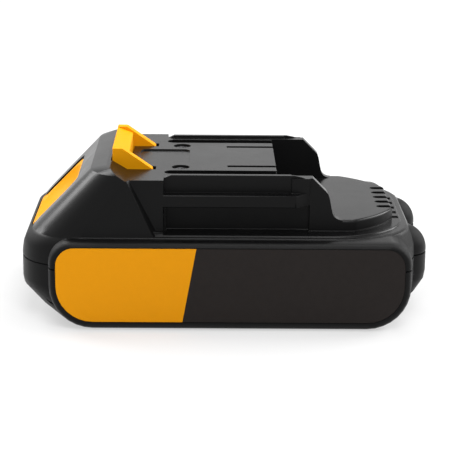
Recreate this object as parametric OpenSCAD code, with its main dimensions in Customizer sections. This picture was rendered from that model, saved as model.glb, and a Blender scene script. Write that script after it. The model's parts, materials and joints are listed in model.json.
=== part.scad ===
// Slide-on battery pack for a cordless tool, five round cells in one row.
// Millimetres. +X is the terminal (nose) end, -Y the label side, Z = 0 the base.
// The case is sized from the cells outward, so the walls follow the cells.

/* [Cells] */
// diameter over the sleeve
cell_d = 18.3; // [17:0.1:21.6]
cell_len = 65; // [60:0.5:71]
cell_gap = 0.4; // [0.3:0.1:3]
sleeve_t = 0.15; // [0.1:0.05:0.3]

/* [Case] */
wall = 2.2; // [1.6:0.1:3]
fit = 0.3; // [0.2:0.05:0.5]
// height of the joint between the two halves
part_h = 17.1; // [14:0.1:19]
latch_end_room = 8.35; // [8:0.05:14]
nose_end_room = 1.95; // [1.5:0.05:8]
lobe_out = 4; // [3:0.1:5]
lobe_r = 7; // [6.5:0.1:8]
lobe_y = 15; // [14:0.5:20]
shoulder_step = 0.7; // [0.4:0.1:1.5]
shoulder_rim = 0.4; // [0.2:0.05:0.5]
end_r = 13.5; // [11:0.5:16]
shadow_gap = 0.4; // [0.2:0.05:0.8]

/* [Cell holder] */
holder_web = 0.8; // [0.6:0.1:1.6]
holder_lip = 2.2; // [1.6:0.1:3]
holder_depth = 14; // [8:0.5:20]
strip_t = 0.2; // [0.15:0.05:0.3]
paper_t = 0.3; // [0.2:0.05:0.5]
tab_room = 0.4; // [0.3:0.05:1]

/* [Board and terminals] */
board_gap = 0.6; // [0.5:0.1:2]
board_t = 1.6; // [1:0.1:2]
board_room = 2.05; // [1:0.05:4]
clip_h = 12.2; // [10:0.1:15]
power_y = 12.5; // [11:0.1:14]
power_slot_w = 2; // [1.6:0.1:2.6]
power_slot_len = 13.7; // [11:0.1:16]
clip_len = 10.2; // [8:0.1:11]
clip_w = 4; // [3:0.1:4.6]
clip_t = 0.5; // [0.4:0.05:0.8]
carrier_h = 4; // [3:0.1:6]

/* [Deck and rails] */
deck_t = 3.6; // [3.2:0.1:5]
block_w = 53; // [52:0.5:56]
rail_out = 3.5; // [2.5:0.1:4]
rail_drop = 4.2; // [3.5:0.1:5]
rail_t = 3.4; // [2.5:0.1:4]
neck_in = 1.5; // [1:0.1:1.8]
cheek_t = 3.2; // [2.8:0.1:4]
lip_h = 0.7; // [0.5:0.1:1.2]
lip_w = 1.6; // [1.2:0.1:2.2]
// rail start to terminal face
block_len = 31.3; // [28:0.1:36]
guide_y = 19.9; // [18.5:0.1:20.2]
guide_w = 4.2; // [3:0.1:4.4]
vent_pitch = 5.36; // [4.5:0.02:6]
vent_w = 2.4; // [1.5:0.1:3]

/* [Latch] */
head_rise = 2.5; // [2:0.1:4]
slope_angle = 46; // [42:1:50]
hook_h = 5.8; // [4.5:0.1:6.5]
hook_w = 32.8; // [28:0.2:36]
prong_w = 3.2; // [2.5:0.1:4]
latch_travel = 5; // [4:0.1:5.2]
button_hw = 16; // [13:0.2:17]
button_r = 2.5; // [1:0.1:4]
button_drop = 0.5; // [0:0.1:1]
dish_r = 12; // [9:0.5:13]
dish_depth = 3.6; // [2:0.1:3.8]
spring_d = 5.9; // [5:0.1:6.2]
spring_wire = 0.5; // [0.4:0.05:0.7]
spring_y = 8; // [6:0.5:10]

/* [Screws] */
screw_d = 2.9; // [2.5:0.1:3.2]
screw_head_d = 4.6; // [4.2:0.1:5]

/* [Show] */

/* [Hidden] */
$fn = 48;
cells = 5;
e = 0.01;

// Cells set the length and width of the case
cell_r = cell_d / 2;
pitch = cell_d + cell_gap;
row_len = (cells - 1) * pitch + cell_d;
side_stack = holder_web + fit + wall;
panel_len = row_len + 2 * side_stack;
case_len = latch_end_room + panel_len + nose_end_room + lobe_out;
case_hw = cell_len / 2 + holder_lip + paper_t + fit + wall;
x_left = -case_len / 2;
x_nose = case_len / 2 - lobe_out;
panel_x0 = x_left + latch_end_room;
panel_x1 = panel_x0 + panel_len;
row_x = (panel_x0 + panel_x1) / 2;
skirt_hw = case_hw - 4;
bay_x0 = panel_x0 + wall;
bay_x1 = panel_x1 - wall;
bay_hw = case_hw - wall;

// Heights, from the floor up
cell_z = side_stack + cell_r;
holder_top = cell_z + cell_r + holder_web;
bay_top = holder_top + tab_room;
panel_h = bay_top + wall;
shoulder_h = panel_h + shoulder_step;
board_z = holder_top + board_gap;
board_top = board_z + board_t;
nose_h = board_top + board_room + wall;
ceiling = board_top + clip_h + fit;
deck_h = ceiling + deck_t;
head_h = deck_h + head_rise;
head_roof = head_h - wall - 0.4;
rail_top = deck_h - rail_drop;
rail_under = rail_top - rail_t;
hook_top = deck_h + hook_h;

// Places along the length
slope_z0 = panel_h - 1.8;
slope_x0 = x_left + 1.3;
function slope_x(z) = slope_x0 + (z - slope_z0) / tan(slope_angle);
function slope_z(x) = slope_z0 + (x - slope_x0) * tan(slope_angle);
slope_skin = wall / sin(slope_angle);
hook_x0 = slope_x(head_h) + 4.6;
ramp_x1 = hook_x0 + 4.2;
rail_x0 = hook_x0 + 14.6;
block_x1 = rail_x0 + block_len;
rail_x1 = block_x1 + 8.9;
lead_len = 5.1;
flank_slant = 1.4;
brow_drop = 1.25;
nose_edge_r = 0.8;
cheek_x1 = block_x1 + 15.1;
nose_x1 = x_nose - 5.6;
button_x0 = x_left + 2;
button_x1 = hook_x0 - 10;

// Widths across
block_hw = block_w / 2;
nose_r = block_hw + 4.5;
nose_cx = nose_x1 - nose_r + 2.6;
rail_hw = block_hw + rail_out;
neck_hw = block_hw - neck_in;
pocket_hw = block_hw - cheek_t;
inner_hw = neck_hw - wall;
board_hw = inner_hw - fit;
hook_hw = hook_w / 2;

// Screws
deck_screw_x = rail_x0 + 4.45;
deck_screw_y = 13.7;
head_seat = 1.3;
case_screw_x0 = x_left + 6.5;
case_screw_y0 = 20;
case_screw_x1 = x_nose - 1.2;
case_screw_seat = 9;
case_screw_tip = panel_h - 2;
spring_x = hook_x0 - 0.7;
spring_top = ceiling + 0.4;

black = [0.09, 0.09, 0.1];
orange = [0.96, 0.55, 0.05];
steel = [0.72, 0.73, 0.75];
nickel = [0.8, 0.79, 0.74];

function cell_x(i) = row_x + (i - (cells - 1) / 2) * pitch;

// Outlines: points of a rounded box and lofts through a stack of them
function arc(cx, cy, r, a0, a1, n = 8) =
    [for (i = [0:n]) let (a = a0 + (a1 - a0) * i / n) [cx + r * cos(a), cy + r * sin(a)]];

function ring(x0, x1, y0, y1, rb, rt, rl, rr) = concat(
    arc(x1 - rb, y0 + rb, rb, -90, 0),
    arc(x1 - rr, y1 - rr, rr, 0, 90),
    arc(x0 + rt, y1 - rt, rt, 90, 180),
    arc(x0 + rl, y0 + rl, rl, 180, 270));

function plan_ring(x0, x1, hw, r_left, r_right) = ring(x0, x1, -hw, hw, r_right, r_left, r_left, r_right);

function lift(pts, z) = [for (p = pts) [p[0], p[1], z]];

module loft(rings) {
    n = len(rings[0]);
    m = len(rings);
    sides = [for (k = [0:m - 2]) for (i = [0:n - 1]) let (j = (i + 1) % n)
        for (t = [[k * n + i, (k + 1) * n + i, (k + 1) * n + j], [k * n + i, (k + 1) * n + j, k * n + j]]) t];
    base = [for (i = [0:n - 1]) i];
    top = [for (i = [n - 1:-1:0]) (m - 1) * n + i];
    polyhedron(points = [for (q = rings) for (p = q) p], faces = concat([base], sides, [top]));
}

// Extrude an XZ profile across the pack, y0 to y1
module across(y0, y1) {
    translate([0, y1, 0]) rotate([90, 0, 0]) linear_extrude(y1 - y0) children();
}

// Rounded box outline kept exact: two squares and four circles
module soft_square(x0, x1, y0, y1, r) {
    translate([x0 + r, y0]) square([x1 - x0 - 2 * r, y1 - y0]);
    translate([x0, y0 + r]) square([x1 - x0, y1 - y0 - 2 * r]);
    for (x = [x0 + r, x1 - r]) for (y = [y0 + r, y1 - r]) translate([x, y]) circle(r);
}

module both_sides() {
    children();
    mirror([0, 1, 0]) children();
}

// Case outside
module body_form() {
    g = shoulder_h;
    loft([
        lift(plan_ring(x_left + 11, x_nose - 6.5, skirt_hw - 0.9, 11, 10), 0),
        lift(plan_ring(x_left + 5.5, x_nose - 3, skirt_hw - 0.3, 13, 12), 4.2),
        lift(plan_ring(x_left + 0.4, x_nose - 0.3, skirt_hw, 14, 13), 9.5),
        lift(plan_ring(x_left, x_nose, skirt_hw, 14, end_r), 11.5),
        lift(plan_ring(x_left, x_nose, skirt_hw, 14, end_r), g - 7.2),
        lift(plan_ring(x_left + 0.35, x_nose - 0.1, skirt_hw, 14, 14), g - 4.7),
        lift(plan_ring(x_left + 1.1, x_nose - 0.6, skirt_hw, 14, 15.5), g - 2.7),
        lift(plan_ring(x_left + 3.4, x_nose - 1.2, skirt_hw, 14, 19), g - 0.9),
        // rim round the shoulder, a step below its top
        lift(plan_ring(x_left + 4.2, x_nose - 1.7, skirt_hw - 0.4, 14, 20), g - shoulder_rim),
        lift(plan_ring(x_left + 5.4, x_nose - 3, skirt_hw - 1.6, 14, 20.5), g - shoulder_rim),
        lift(plan_ring(x_left + 5.6, x_nose - 3.2, skirt_hw - 1.8, 14, 20.5), g)]);
}

function panel_ring(k, y) = lift(ring(panel_x0 + k, panel_x1 - k, k * 1.1, panel_h - 0.6 * k,
    12.2 - k, 6.5 - 0.6 * k, 12.2 - k, 6.5 - 0.6 * k), y);

module panel_form() {
    w = case_hw;
    rotate([90, 0, 0]) loft([
        panel_ring(2, -w), panel_ring(0.9, -w + 0.6), panel_ring(0.25, -w + 1.9), panel_ring(0, -w + 3.7),
        panel_ring(0, w - 3.7), panel_ring(0.25, w - 1.9), panel_ring(0.9, w - 0.6), panel_ring(2, w)]);
}

module lobe_form() {
    both_sides() translate([x_nose + lobe_out - lobe_r, lobe_y, 0]) {
        rotate_extrude() polygon([[0, 1.1], [lobe_r - 5.6, 1.1], [lobe_r - 0.4, 9.5], [lobe_r, 12],
            [lobe_r, panel_h - lobe_r], [0, panel_h - lobe_r]]);
        translate([0, 0, panel_h - lobe_r]) sphere(lobe_r);
    }
}

// One level of the head: round at the slope, slanted in to the stop wall at the rail end
function flank_x(z) = rail_x0 - 2.9 + flank_slant - (z - shoulder_h) * (rail_x0 - 3.3 - ramp_x1) / (deck_h - shoulder_h);
function head_ring(x0, x1, hw, r, z) = let (q = min(r, x1 - flank_slant - x0 - 0.2)) lift(concat(
    [[x1 - flank_slant, -hw], [x1, 3.2 - hw], [x1, hw - 3.2], [x1 - flank_slant, hw]],
    arc(x0 + q, hw - q, q, 90, 180), arc(x0 + q, q - hw, q, 180, 270)), z);

module head_form() {
    h = head_h;
    brow_x = slope_x(h - brow_drop);
    toe_z = slope_z0 + 3.5;
    top_z = deck_h + 0.05;
    intersection() {
        loft([
            head_ring(x_left + 0.75, flank_x(slope_z0 - 2.7), skirt_hw - 0.3, 14, slope_z0 - 2.7),
            head_ring(slope_x0 + 0.4, flank_x(slope_z0), skirt_hw - 0.3, 14.2, slope_z0),
            head_ring(slope_x(toe_z), flank_x(toe_z), skirt_hw - 0.6, 13.7, toe_z),
            head_ring(slope_x(top_z), flank_x(top_z), skirt_hw - 2.05, 11.2, top_z),
            head_ring(brow_x, rail_x0 - 4, skirt_hw - 2.2, 11, h - brow_drop),
            head_ring(brow_x + 4.4, rail_x0 - 4, skirt_hw - 3, 9, h)]);
        across(-case_hw, case_hw) polygon([[x_left - 1, slope_z0 - 3], [rail_x0 + 2, slope_z0 - 3],
            [rail_x0 + 2, deck_h], [ramp_x1, deck_h], [hook_x0, h + 0.01], [hook_x0, h + 1], [x_left - 1, h + 1]]);
    }
}

module nose_outline(inset) {
    intersection() {
        translate([nose_cx, 0]) circle(nose_r - inset, $fn = 96);
        translate([block_x1 - 8, -block_hw + inset]) square([nose_x1 - inset - block_x1 + 8, block_w - 2 * inset]);
    }
}

// Nose deck, a round plateau with a soft edge and a straight front
module nose_form() {
    z0 = panel_h - 3;
    r = nose_edge_r;
    intersection() {
        translate([nose_cx, 0, 0]) rotate_extrude($fn = 96)
            polygon(concat([[0, z0], [nose_r, z0]], arc(nose_r - r, nose_h - r, r, 0, 90, 4), [[0, nose_h]]));
        across(-block_hw, block_hw) polygon(concat([[block_x1 - 8, z0], [nose_x1, z0]],
            arc(nose_x1 - r, nose_h - r, r, 0, 90, 4), [[block_x1 - 8, nose_h]]));
        translate([block_x1 - 8, 0, 0]) rotate([90, 0, 90]) linear_extrude(nose_x1 - block_x1 + 8)
            polygon(concat([[-block_hw, z0], [block_hw, z0]], arc(block_hw - r, nose_h - r, r, 0, 90, 4),
                arc(r - block_hw, nose_h - r, r, 90, 180, 4)));
    }
}

module cheek_profile() {
    r = 3;
    difference() {
        polygon([[block_x1 - 2, shoulder_h], [block_x1 - 2, deck_h], [cheek_x1 - 5.4, deck_h],
            [cheek_x1 - 1.9, deck_h - 3.5], [cheek_x1 - 1.15, deck_h - 4.4], [cheek_x1 - 0.7, deck_h - 5.6],
            [cheek_x1, nose_h + 2.6], [cheek_x1, nose_h + r], [cheek_x1 + r, nose_h], [cheek_x1 + r, shoulder_h]]);
        translate([cheek_x1 + r, nose_h + r]) circle(r);
    }
}

module rail_form() {
    // terminal block and the stop wall at the head end
    translate([hook_x0 + 3, -block_hw, panel_h - 3]) cube([block_x1 - hook_x0 - 3, block_w, deck_h - panel_h + 3]);
    translate([hook_x0 + 3, -rail_hw, panel_h - 3]) cube([rail_x0 - hook_x0 - 3, 2 * rail_hw, deck_h - panel_h + 3]);
    // flanges that the tool's lips hook under, narrowed at the lead-in
    translate([0, 0, rail_under]) linear_extrude(rail_t) difference() {
        polygon([[rail_x0 - 1, -rail_hw], [rail_x1 - 4, -rail_hw], [rail_x1, -block_hw + 0.1],
            [rail_x1, block_hw - 0.1], [rail_x1 - 4, rail_hw], [rail_x0 - 1, rail_hw]]);
        translate([block_x1 - 1, -pocket_hw]) square([20, 2 * pocket_hw]);
    }
    both_sides() {
        across(pocket_hw, block_hw) cheek_profile();
        // raised lip along the deck edge, thinner and tapering at the lead-in
        x1 = rail_x1 - lead_len;
        across(block_hw - lip_w, block_hw) polygon([[rail_x0 + 0.4, deck_h - 1], [rail_x0 + 0.4, deck_h],
            [rail_x0 + 1.9, deck_h + lip_h], [x1, deck_h + lip_h], [x1 + 0.5, deck_h - 1]]);
        across(block_hw - lip_w / 2, block_hw) polygon([[x1 - 1, deck_h - 1], [x1 - 1, deck_h + lip_h],
            [x1 + 0.8, deck_h + lip_h], [x1 + 2.6, deck_h + lip_h / 2], [x1 + 3.8, deck_h], [x1 + 3.8, deck_h - 1]]);
        // slightly proud patch by the lead-in
        translate([x1, block_hw - 1, rail_top]) cube([lead_len, 1.6, rail_drop]);
        // foot of the stop wall
        translate([rail_x0 - 4, rail_hw - 1, panel_h - 3]) cube([4, skirt_hw - 1.8 - rail_hw + 1, shoulder_h + 0.9 - panel_h + 3]);
    }
    nose_form();
}

module outer_form() {
    body_form();
    panel_form();
    lobe_form();
    head_form();
    rail_form();
}

// Case inside
module bay_outline(grow = 0) {
    r = 12.2 - wall;
    translate([bay_x0 - grow, cell_z]) square([bay_x1 - bay_x0 + 2 * grow, bay_top - cell_z]);
    translate([bay_x0 + r, wall]) square([bay_x1 - bay_x0 - 2 * r, bay_top - wall]);
    for (x = [bay_x0 + r, bay_x1 - r]) translate([x, wall + r]) circle(r);
}

module bay_plan(grow) {
    soft_square(bay_x0 - grow, bay_x1 + grow, -bay_hw - grow, bay_hw + grow, 1.5);
    soft_square(x_left + 2 - grow, bay_x0 + 16, 1.9 + grow - skirt_hw - grow * 2, skirt_hw - 1.9 + grow, 11.8);
}

module cavity() {
    // cell bay
    across(-bay_hw, bay_hw) bay_outline();
    // latch end
    intersection() {
        across(-skirt_hw, skirt_hw) polygon([[x_left + 2, 10.6], [x_left + 8.1, 5.6], [bay_x0 + 0.5, 4.1],
            [bay_x0 + 14, 8], [bay_x0 + 14, slope_z0 - 1], [x_left + 2, slope_z0 - 1]]);
        linear_extrude(60) soft_square(x_left + 2, bay_x0 + 16, 2.2 - skirt_hw, skirt_hw - 2.2, 11.8);
        across(-skirt_hw, skirt_hw) polygon([[x_left, 0], [bay_x0 + 20, 0], [bay_x0 + 20, slope_z0 + 5],
            [slope_x(slope_z0 + 5) + slope_skin, slope_z0 + 5], [slope_x(slope_z0 - 1.9) + slope_skin, slope_z0 - 1.9],
            [x_left, slope_z0 - 1.9]]);
    }
    // head
    hz = head_roof;
    hw = skirt_hw - 2.6;
    intersection() {
        loft([
            lift(plan_ring(slope_x(slope_z0 - 2) + slope_skin, rail_x0, hw, 11.5, 2), slope_z0 - 2),
            lift(plan_ring(slope_x(hz - 0.8) + slope_skin, rail_x0, hw - 2.2, 8.5, 2), hz - 0.8),
            lift(plan_ring(slope_x(hz - 0.8) + slope_skin + 1, rail_x0, hw - 2.5, 8, 2), hz)]);
        across(-case_hw, case_hw) polygon([[x_left, 0], [rail_x0 - 2.2, 0], [rail_x0 - 2.2, ceiling + 1.2],
            [hook_x0 + 0.6, ceiling + 1.2], [hook_x0 - 1.2, hz], [hook_x0 - 1.2, hz + 1], [x_left, hz + 1]]);
        linear_extrude(60) polygon([[x_left, -case_hw], [hook_x0 - 2, -case_hw], [hook_x0 + 3, -rail_hw + wall],
            [rail_x0, -rail_hw + wall], [rail_x0, rail_hw - wall], [hook_x0 + 3, rail_hw - wall],
            [hook_x0 - 2, case_hw], [x_left, case_hw]]);
    }
    // terminal block and nose
    translate([rail_x0 - 4, -inner_hw, cell_z]) cube([block_x1 - wall - rail_x0 + 4, 2 * inner_hw, ceiling - cell_z]);
    translate([0, 0, cell_z]) linear_extrude(nose_h - wall - cell_z) nose_outline(wall + neck_in);
}

module case_bosses() {
    both_sides() {
        translate([case_screw_x0, case_screw_y0, 0]) cylinder(h = case_screw_tip + 1.2, r = 4.1);
        translate([case_screw_x1, lobe_y, 0]) cylinder(h = case_screw_tip + 1.2, r = 3.3);
    }
}

// Joint outline a little inside the case skin, for the shadow line between the halves
module joint_outline(inset) {
    polygon(plan_ring(x_left + inset, x_nose - inset, skirt_hw - inset, 14 - inset, end_r - inset));
    w = case_hw - inset;
    x0 = panel_x0 + inset;
    x1 = panel_x1 - inset;
    polygon([[x0 + 2, -w], [x1 - 2, -w], [x1 - 0.9, 0.6 - w], [x1 - 0.25, 1.9 - w], [x1, 3.7 - w],
        [x1, w - 3.7], [x1 - 0.25, w - 1.9], [x1 - 0.9, w - 0.6], [x1 - 2, w],
        [x0 + 2, w], [x0 + 0.9, w - 0.6], [x0 + 0.25, w - 1.9], [x0, w - 3.7],
        [x0, 3.7 - w], [x0 + 0.25, 1.9 - w], [x0 + 0.9, 0.6 - w]]);
    both_sides() translate([x_nose + lobe_out - lobe_r, lobe_y]) circle(lobe_r - inset);
}

module label_outline(k) {
    polygon(ring(panel_x0 + 2.25 - k, panel_x1 - 2.25 + k, 2.6 - k, panel_h - 1.5 + k, 10 + k, 5.1 + k, 10 + k, 5.1 + k));
}

module label_recess() {
    across(-case_hw - 1, -case_hw + 0.3) label_outline(0.1);
}

module lower_case() color(black) {
    difference() {
        intersection() {
            outer_form();
            translate([-case_len, -case_len, 0]) cube([2 * case_len, 2 * case_len, part_h]);
        }
        difference() {
            cavity();
            case_bosses();
        }
        both_sides() for (p = [[case_screw_x0, case_screw_y0], [case_screw_x1, lobe_y]]) translate([p[0], p[1], -1]) {
            cylinder(h = case_screw_seat + 1, r = screw_head_d / 2 + 0.3);
            cylinder(h = part_h + 2, r = screw_d / 2 + 0.2);
        }
        label_recess();
    }
    // tongue that lines up the upper half
    difference() {
        translate([0, 0, part_h - 1]) linear_extrude(2.2) difference() {
            bay_plan(1);
            bay_plan(0);
        }
        both_sides() translate([case_screw_x0, case_screw_y0, part_h]) cylinder(h = 3, r = 4.4);
        both_sides() translate([case_screw_x1, lobe_y, part_h]) cylinder(h = 3, r = 3.6);
    }
}

module hook_opening() {
    c = 0.35;
    linear_extrude(60) {
        translate([hook_x0 - c, -hook_hw - c]) square([4.6 + 2 * c, hook_w + 2 * c]);
        both_sides() translate([hook_x0 - c, hook_hw - prong_w - c]) square([11.2 + 0.9 + c, prong_w + 2 * c]);
    }
}

module guide_slot() {
    translate([0, 0, deck_h - 2]) linear_extrude(4) {
        translate([rail_x0 + guide_w * 0.4, guide_y - guide_w / 2]) square([block_len, guide_w]);
        translate([rail_x0 + guide_w * 0.5, guide_y]) circle(guide_w / 2);
    }
}

module upper_case() color(black) {
    difference() {
        intersection() {
            outer_form();
            translate([-case_len, -case_len, part_h]) cube([2 * case_len, 2 * case_len, 60]);
        }
        difference() {
            cavity();
            case_bosses();
        }
        // rebate for the tongue, and the shadow line
        translate([0, 0, part_h - 1]) linear_extrude(2.4) bay_plan(1.15);
        translate([0, 0, part_h - 1]) linear_extrude(1 + shadow_gap) difference() {
            square(3 * case_len, center = true);
            joint_outline(0.5);
        }
        both_sides() {
            for (p = [[case_screw_x0, case_screw_y0], [case_screw_x1, lobe_y]])
                translate([p[0], p[1], part_h - 1]) cylinder(h = case_screw_tip - part_h + 1.4, r = screw_d / 2 + 0.05);
            translate([deck_screw_x, deck_screw_y, 0]) {
                translate([0, 0, ceiling - 1]) cylinder(h = 10, r = screw_d / 2 + 0.2);
                translate([0, 0, ceiling + head_seat]) cylinder(h = 10, r = screw_head_d / 2 + 0.2);
            }
            // tool lip grooves
            across(neck_hw, rail_hw + 1) union() {
                translate([rail_x0 + 0.6, shoulder_h]) square([rail_x1 - rail_x0 - 0.6, rail_under - shoulder_h - 2]);
                translate([rail_x0 + 2.6, shoulder_h]) square([rail_x1 - rail_x0 - 2.6, rail_under - shoulder_h]);
                translate([rail_x0 + 2.6, rail_under - 2]) circle(2);
            }
            guide_slot();
            // blade slots
            translate([block_x1 - power_slot_len, power_y - power_slot_w / 2, board_top + 5.5])
                cube([power_slot_len + 1, power_slot_w, 30]);
        }
        translate([block_x1 - 4, -power_slot_w / 2, board_top + 5.5]) cube([5, power_slot_w, 5.5]);
        // shallow panel in the deck
        translate([0, 0, deck_h - 0.4]) linear_extrude(3) soft_square(rail_x0 - 7.5, rail_x0 + 6.8, -9, 9, 2);
        // vents through the edge of the nose deck
        for (i = [-2:2]) translate([0, i * vent_pitch, shoulder_h - 0.5]) linear_extrude(10) {
            translate([nose_x1 - 4.4 + vent_w / 2, 0]) circle(vent_w / 2);
            translate([nose_x1 - 4.4 + vent_w / 2, -vent_w / 2]) square([5, vent_w]);
        }
        // latch: hook in the top, thumb button in the slope
        translate([0, 0, cell_z + 12]) hook_opening();
        translate([0, 0, part_h + 2]) linear_extrude(60)
            soft_square(button_x0, button_x1, -button_hw, button_hw, button_r);
        label_recess();
    }
    // walls that guide the latch
    both_sides() {
        translate([hook_x0 - 5, hook_hw + fit, board_top + 1.4]) cube([9, 1.6, ceiling + 1.3 - board_top - 1.4]);
        translate([hook_x0 - 5, hook_hw + fit, ceiling]) cube([4, 1.6, head_roof - ceiling + 0.1]);
    }
}

// Latch: hook, web and thumb button in one moulding
module release_latch() color(orange) {
    z1 = board_top + 3.6;
    hz = head_roof - 0.6;
    bx0 = button_x0 + fit;
    bx1 = button_x1 - fit;
    inner = slope_skin + 0.6;
    bhw = button_hw - fit;
    mid_x = (bx0 + bx1) / 2;
    low = button_drop / cos(slope_angle);
    // the dish ends just inside the button's sides
    dish_run = bhw - 0.2 - sqrt(dish_r * dish_r - pow(dish_r - dish_depth, 2));
    difference() {
        union() {
            // thumb button, flush at its lower edge and a little sunk above
            intersection() {
                across(-bhw - 1, bhw + 1) polygon([[bx0 - 1, slope_z0 - 2.4], [bx0 - 1, slope_z(bx0 - 1) - 0.4],
                    [bx0 + 0.7, slope_z(bx0 + 0.7) - 0.2], [bx0 + 1.5, slope_z(bx0 + 1.5) - low],
                    [bx1 + 1, slope_z(bx1 + 1) - low], [bx1 + 1, z1 + 1],
                    [bx1 - 2, z1 - 2], [bx1 - 5.4, z1 - 5.4], [bx1 - 5.4, slope_z0 - 2.4]]);
                linear_extrude(60) polygon(plan_ring(bx0, bx1, bhw, button_r - fit, button_r - fit));
            }
            // web under the slope, from the button to the hook
            across(-hook_hw, hook_hw) polygon([[bx1 - 3.1, slope_z(bx1 - 3.1 - inner)], [slope_x(hz) + inner, hz],
                [hook_x0 - 2, hz], [hook_x0, ceiling + 1], [hook_x0 + 4.6, ceiling], [hook_x0 + 4.6, z1],
                [bx1 + 0.1, z1], [bx1 - 2, z1 - 2.3], [bx1 - 3.1, z1 - 3.4]]);
            // crossbar and prongs
            across(-hook_hw, hook_hw) polygon([[hook_x0, ceiling - 3], [hook_x0, hook_top - 0.1],
                [hook_x0 + 4.5, hook_top - 1.8], [hook_x0 + 4.6, ceiling - 3]]);
            both_sides() across(hook_hw - prong_w, hook_hw) polygon([[hook_x0, ceiling - 3], [hook_x0, hook_top],
                [hook_x0 + 2.8, hook_top], [hook_x0 + 11.2, deck_h], [hook_x0 + 11.2, deck_h - 2.2],
                [hook_x0 + 6, ceiling - 3]]);
        }
        // thumb dish
        translate([mid_x - (dish_r - dish_depth) * sin(slope_angle), 0,
            slope_z(mid_x) + (dish_r - dish_depth) * cos(slope_angle)]) {
            rotate([90, 0, 0]) cylinder(h = 2 * dish_run, r = dish_r, center = true);
            both_sides() translate([0, dish_run, 0]) sphere(dish_r);
        }
        both_sides() translate([spring_x, spring_y, z1 - 1]) cylinder(h = spring_top - z1 + 1, r = spring_d / 2 + 0.45);
        // cored out between the springs
        translate([hook_x0 - 5, -3, z1 - 1]) cube([7.4, 6, 9]);
    }
}

// Coil springs: one unbroken tube with a closed coil at each end
spring_r = (spring_d - spring_wire) / 2;
spring_free = spring_top - holder_top - spring_wire - 0.1;
spring_turns = 8;
end_rise = spring_wire + 0.45;
function spring_at(t) = t < 1 ? end_rise * t
    : t > spring_turns - 1 ? spring_free - end_rise * (spring_turns - t)
    : end_rise + (spring_free - 2 * end_rise) * (t - 1) / (spring_turns - 2);

module coil() {
    seg = 18;
    sides = 8;
    m = seg * spring_turns;
    loft([for (i = [0:m]) let (t = i / seg, a = 360 * t, z = spring_at(t))
        [for (k = [0:sides - 1]) let (b = 360 * k / sides, q = spring_r + spring_wire / 2 * cos(b))
            [q * cos(a), q * sin(a), z + spring_wire / 2 * sin(b)]]]);
}
echo(coil_gap = (spring_free - 2 * end_rise) / (spring_turns - 2) - spring_wire, end_gap = end_rise - spring_wire);

module latch_spring(y) {
    color(steel) translate([spring_x, y, holder_top + 0.05 + spring_wire / 2]) coil();
}
module latch_spring_near() { latch_spring(-spring_y); }
module latch_spring_far() { latch_spring(spring_y); }

// Screws, plain shanks with a cross recess
module screw(len) {
    difference() {
        union() {
            cylinder(h = 1.8, r = screw_head_d / 2);
            translate([0, 0, -len]) cylinder(h = len + 0.1, r = screw_d / 2);
        }
        for (a = [0, 90]) rotate(a) translate([-1.3, -0.35, 0.8]) cube([2.6, 0.7, 2]);
    }
}

module deck_screws() color(steel)
    both_sides() translate([deck_screw_x, deck_screw_y, ceiling + head_seat]) rotate(20) screw(12);

module case_screws() color(steel)
    both_sides() for (p = [[case_screw_x0, case_screw_y0], [case_screw_x1, lobe_y]])
        translate([p[0], p[1], case_screw_seat]) mirror([0, 0, 1]) screw(case_screw_tip - case_screw_seat);

// Cells, all lying across the pack; odd cells have the plus end on the far side
module cell(i) {
    s = i % 2 == 0 ? 1 : -1;
    r = cell_r - sleeve_t;
    h = cell_len / 2;
    color(steel) translate([cell_x(i), 0, cell_z]) rotate([s * -90, 0, 0]) rotate_extrude()
        polygon([[0, -h], [r, -h], [r, h - 4], [r - 0.5, h - 3.6], [r - 0.5, h - 3], [r, h - 2.6], [r, h - 0.25],
            [3.8, h - 0.25], [3.8, h], [0, h]]);
}
module cell_1() { cell(0); }
module cell_2() { cell(1); }
module cell_3() { cell(2); }
module cell_4() { cell(3); }
module cell_5() { cell(4); }

module cell_sleeves() color([0.2, 0.45, 0.62])
    for (i = [0:cells - 1]) translate([cell_x(i), 0, cell_z]) rotate([90, 0, 0]) difference() {
        cylinder(h = cell_len - 0.6, r = cell_r, center = true);
        cylinder(h = cell_len, r = cell_r - sleeve_t, center = true);
    }

module cell_washers() color([0.9, 0.89, 0.84])
    for (i = [0:cells - 1]) let (s = i % 2 == 0 ? 1 : -1)
        translate([cell_x(i), s * (cell_len / 2 - 0.125), cell_z]) rotate([90, 0, 0]) difference() {
            cylinder(h = 0.25, r = cell_r - 0.6, center = true);
            cylinder(h = 1, r = 4, center = true);
        }

// Cell holder, one half at each end of the cells
module holder_outline() {
    r = cell_r + holder_web;
    x0 = cell_x(0);
    x1 = cell_x(cells - 1);
    translate([x0, cell_z - r]) square([x1 - x0, 2 * r]);
    for (x = [x0, x1]) translate([x, cell_z]) circle(r);
}

strip_w = 9;
tab_w = 4;
pad_r = 6.2;
board_x0 = deck_screw_x + 4.3;
board_x1 = nose_x1 - 4.6;
tab_y = board_hw - 1.2;

module strip_plan(x0, x1, grow) {
    translate([x0, cell_z]) circle(pad_r + grow);
    if (x1 > x0) {
        translate([x1, cell_z]) circle(pad_r + grow);
        translate([x0, cell_z - strip_w / 2 - grow]) square([x1 - x0, strip_w + 2 * grow]);
    }
}

module tab_channel(x) {
    translate([x - tab_w / 2 - 0.2, cell_z]) square([tab_w + 0.4, holder_top]);
}

// near side is side = -1; rows are [first cell, last cell, tab x at the strip, tab x at the board]
near_rows = [[0, 0, 0, board_x0 + 3.2], [1, 2, 2, cell_x(2)], [3, 4, 3, cell_x(3)]];
far_rows = [[0, 1, 1, board_x0 + 3.2], [2, 3, 2, cell_x(2) + 9], [4, 4, 4, nose_cx + 10.6]];

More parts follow.
